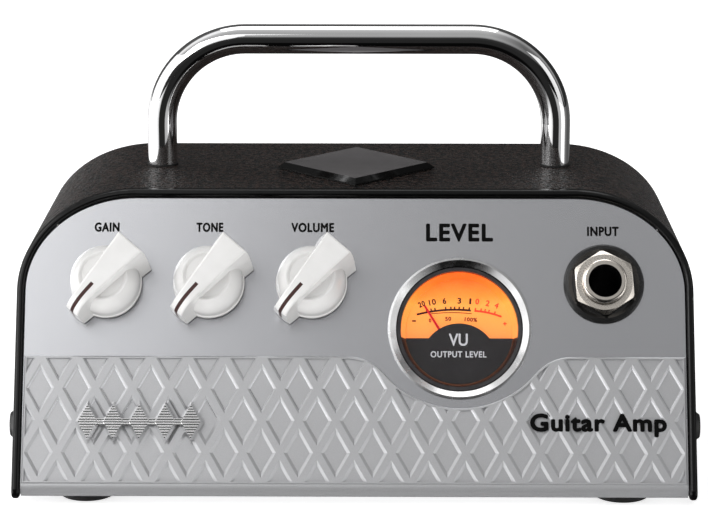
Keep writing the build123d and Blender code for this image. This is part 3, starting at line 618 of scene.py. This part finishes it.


# Every ink here except the black one gets a painted glow.
black_ink = print_ink("black_ink", (0.002, 0.002, 0.002), (0.004, 0.004, 0.004), 0.0, 0.06)
white_ink = print_ink("white_ink", (0.70, 0.70, 0.74), (0.78, 0.78, 0.82), 0.25)
dark_ink = print_ink("dial_dark_ink", (0.05, 0.003, 0.003), (0.08, 0.004, 0.004), 0.1)
red_ink = print_ink("dial_red_ink", (0.85, 0.055, 0.02), (0.95, 0.065, 0.025), 0.75)
brown_ink = print_ink("dial_brown_ink", (0.30, 0.02, 0.008), (0.36, 0.026, 0.01), 0.2)

# Name, words, middle, size, surface, weight and letter spacing.
PANEL_WORDS = [
    ("label_gain", "GAIN", (-48.6, 53.65), (4.9, 1.9), panel_print, 0.10, 1.14),
    ("label_tone", "TONE", (-28.45, 53.65), (5.3, 1.9), panel_print, 0.10, 1.14),
    ("label_volume", "VOLUME", (-8.3, 53.65), (8.4, 1.9), panel_print, 0.10, 1.14),
    ("label_input", "INPUT", (48.5, 53.0), (6.2, 1.9), panel_print, 0.10, 1.14),
    ("label_level", "LEVEL", (20.45, 52.7), (13.1, 3.6), panel_print, 0.17, 1.14),
    ("label_amp", "Guitar Amp", (47.1, 14.75), (26.4, 4.6), pattern_print, 0.2, 1.08),
]
for name, words, middle, size, surface, weight, spacing in PANEL_WORDS:
    lettering(name, words, middle, size, surface, black_ink, weight, 0.0, spacing)

# The dial's scale: arcs through three points each, and where along them the ticks stand.
DIAL_TICK, DIAL_LINE, THIN_LINE, TICK_REACH = 0.28, 0.40, 0.16, 0.62
dark_points = (-8.26, 3.37), (-2.96, 4.28), (2.35, 4.19)
red_points = (3.04, 4.14), (5.8, 3.75), (8.35, 2.97)
thin_points = (-5.74, 3.50), (-2.17, 3.76), (2.52, 3.58)
dark_ticks = [-6.26, -5.39, -4.64, -2.57, -1.57, -0.83, 0.05, 0.90, 2.0]
red_ticks = [3.22, 4.31, 5.10, 5.83, 6.96]
for name, points, ticks, ink in (
    ("dial_scale_dark", dark_points, dark_ticks, dark_ink),
    ("dial_scale_red", red_points, red_ticks, red_ink),
):
    circle = circle_through(*points)
    marks = [tick(x, circle, TICK_REACH, DIAL_TICK) for x in ticks]
    film(name, arc_strip(*points, DIAL_LINE) + marks, dial_print, ink)
film("dial_scale_thin", arc_strip(*thin_points, THIN_LINE), dial_print, brown_ink)

# Name, words, middle, size, turn in degrees and ink.
DIAL_NUMBERS = [
    ("20", "20", (-7.3, 5.45), (1.35, 1.15), 22, dark_ink),
    ("10", "10", (-5.2, 5.85), (1.4, 1.2), 12, dark_ink),
    ("6", "6", (-2.83, 6.1), (0.75, 1.2), 6, dark_ink),
    ("3", "3", (0.09, 6.15), (0.75, 1.2), 0, dark_ink),
    ("1", "1", (2.25, 6.05), (0.4, 1.2), -4, dark_ink),
    ("0", "0", (3.62, 6.0), (0.75, 1.2), -8, red_ink),
    ("2", "2", (5.65, 5.65), (0.78, 1.2), -14, red_ink),
    ("4", "4", (7.4, 5.2), (0.8, 1.15), -20, red_ink),
    ("p0", "0", (-5.65, 2.2), (0.5, 0.85), 4, brown_ink),
    ("p50", "50", (-2.1, 2.55), (1.2, 0.85), 2, brown_ink),
    ("p100", "100%", (2.35, 2.4), (2.5, 0.85), -4, brown_ink),
    ("minus", "-", (-8.8, 2.1), (0.8, 0.3), 0, dark_ink),
    ("plus", "+", (9.0, 1.6), (0.75, 0.75), 0, red_ink),
]
for key, words, middle, size, turn, ink in DIAL_NUMBERS:
    name = f"dial_number_{key}"
    lettering(name, words, middle, size, dial_print, ink, 0.05, turn, 1.12)
for name, words, middle, size, weight, spacing in (
    ("mask_vu", "VU", (-0.17, -1.8), (3.7, 2.45), 0.06, 1.0),
    ("mask_output_level", "OUTPUT LEVEL", (-0.14, -4.68), (10.9, 1.25), 0.04, 1.12),
):
    lettering(name, words, middle, size, mask_print, white_ink, weight, 0.0, spacing)

# ---- floor, light and camera ----
FLOOR_HALF = 4.0           # metres, like every length from here on
FLOOR_GLOW = 0.72          # lifts the pale floor to white round the object
floor_mesh = bmesh.new()
bmesh.ops.create_grid(floor_mesh, x_segments=24, y_segments=24, size=FLOOR_HALF)
floor_data = bpy.data.meshes.new("floor")
floor_mesh.to_mesh(floor_data)
floor_mesh.free()
floor = bpy.data.objects.new("floor", floor_data)
bpy.context.collection.objects.link(floor)
floor_paint = Paint("floor_white", Roughness=0.7)
floor_stops = [(LOW, (0.90, 0.90, 0.90)), (HIGH, (0.92, 0.92, 0.92))]
floor_paint.colour(floor_paint.ramp(floor_paint.noise(0.02, 3), floor_stops))
floor_paint.shader.inputs["Emission Color"].default_value = (1, 1, 1, 1)
floor_paint.shader.inputs["Emission Strength"].default_value = FLOOR_GLOW
dress(floor, floor_paint.material)
floor.visible_glossy = False      # reflections see the studio below it instead

# The studio round the object, brightness against an angle in degrees. Above the horizon the angle
# goes from the front over the top to the back. Below it, where only reflections see the studio, it
# goes round from the back by the left to the front and on by the right.
OVERHEAD = [
    (0, 0.02), (18, 0.035), (24, 0.20), (27, 0.36), (35, 0.42), (52, 0.40), (60, 0.44),
    (69, 0.48), (79, 0.56), (88, 0.80), (93, 1.0), (112, 1.0), (122, 0.12), (150, 0.08),
    (165, 0.08), (180, 0.08),
]
AROUND = [
    (-180, 0.2), (-150, 0.6), (-140, 1.2), (-38, 1.2), (-26, 0.8), (-22, 0.02), (22, 0.02),
    (26, 0.5), (45, 0.55), (55, 1.1), (62, 0.7), (75, 0.35), (90, 0.15), (110, 0.08), (180, 0.2),
]
RIGHT_SHARE = 0.3          # overhead it is darker to the right
DEEP_SHARE = 0.12          # below the horizon it is darker further down
world = bpy.data.worlds.new("studio")
bpy.context.scene.world = world
world.use_nodes = True
sky = world.node_tree
sky.nodes.clear()


def sky_node(kind, *sources, operation=None):
    """A node of the world with its first inputs filled by links or numbers."""
    node = sky.nodes.new(kind)
    if operation:
        node.operation = operation
    for socket, source in zip(node.inputs, sources):
        if isinstance(source, (int, float)):
            socket.default_value = source
        else:
            sky.links.new(source, socket)
    return node


def sky_math(operation, first, second):
    return sky_node("ShaderNodeMath", first, second, operation=operation).outputs["Value"]


def sky_fit(value, low, high, to_low, to_high):
    return sky_node("ShaderNodeMapRange", value, low, high, to_low, to_high).outputs["Result"]


def sky_light(colour, strength):
    return sky_node("ShaderNodeBackground", colour, strength).outputs["Background"]


def level_by_angle(angle, stops):
    """A grey level from an angle in radians, by stops in degrees."""
    first, last = math.radians(stops[0][0]), math.radians(stops[-1][0])
    place = sky_fit(angle, first, last, 0.0, 1.0)
    bands = sky_node("ShaderNodeValToRGB", place)
    while len(bands.color_ramp.elements) < len(stops):
        bands.color_ramp.elements.new(0.5)
    for element, (degrees, level) in zip(bands.color_ramp.elements, stops):
        element.position = (math.radians(degrees) - first) / (last - first)
        element.color = (level, level, level, 1)
    return bands.outputs["Color"]


generated = sky_node("ShaderNodeTexCoord").outputs["Generated"]
direction = sky_node("ShaderNodeSeparateXYZ", generated).outputs
forward = sky_math("MULTIPLY", direction["Y"], -1.0)
arch = sky_math("ARCTAN2", direction["Z"], forward)
turn = sky_math("ARCTAN2", direction["X"], forward)
above = sky_math("GREATER_THAN", direction["Z"], 0.0)
rightward = sky_fit(direction["X"], 0.2, 0.6, 1.0, RIGHT_SHARE)
overhead = sky_light(level_by_angle(arch, OVERHEAD), rightward)
shallow = sky_fit(direction["Z"], -0.42, -0.30, DEEP_SHARE, 1.0)
around = sky_light(level_by_angle(turn, AROUND), shallow)
studio = sky_node("ShaderNodeMixShader", above, around, overhead).outputs["Shader"]
backdrop = sky_node("ShaderNodeBackground").outputs["Background"]
backdrop.node.inputs["Color"].default_value = (1, 1, 1, 1)
seen = sky_node("ShaderNodeLightPath").outputs["Is Camera Ray"]
all_rays = sky_node("ShaderNodeMixShader", seen, studio, backdrop).outputs["Shader"]
sky_node("ShaderNodeOutputWorld", all_rays)


def softbox(name, place, target_height, width, height, power):
    """A rectangular area light that faces a point over the origin."""
    light = bpy.data.lights.new(name, "AREA")
    light.shape = "RECTANGLE"
    light.size = width
    light.size_y = height
    light.energy = power
    lamp = bpy.data.objects.new(name, light)
    lamp.location = place
    aim = Vector((0, 0, target_height)) - Vector(place)
    lamp.rotation_euler = aim.to_track_quat("-Z", "Y").to_euler()
    bpy.context.collection.objects.link(lamp)


softbox("left_box", (-0.80, -0.10, 0.10), 0.05, 1.2, 1.1, 5.0)
softbox("right_box", (0.68, -0.36, 0.10), 0.05, 0.40, 1.0, 1.1)
softbox("key_box", (-0.474, -0.527, 0.554), 0.05, 0.45, 0.45, 2.0)
softbox("sheen_box", (-0.32, -0.67, 0.57), 0.04, 0.50, 0.45, 0.6)
softbox("back_box", (0, 0.25, 0.85), 0.05, 0.6, 0.5, 1.6)

CAMERA_PLACE = (0.00463, -0.51886, 0.16855)
CAMERA_TILT, CAMERA_TURN = 76.0, 0.55      # degrees from straight down, and to the left
SENSOR_WIDTH, FOCAL_LENGTH = 36.0, 134.24
camera_data = bpy.data.cameras.new("camera")
camera_data.sensor_width = SENSOR_WIDTH
camera_data.lens = FOCAL_LENGTH
camera_data.clip_end = 20
camera = bpy.data.objects.new("camera", camera_data)
camera.location = CAMERA_PLACE
camera.rotation_euler = (math.radians(CAMERA_TILT), 0, math.radians(CAMERA_TURN))
bpy.context.collection.objects.link(camera)
bpy.context.scene.camera = camera
bpy.context.scene.view_settings.view_transform = "Standard"
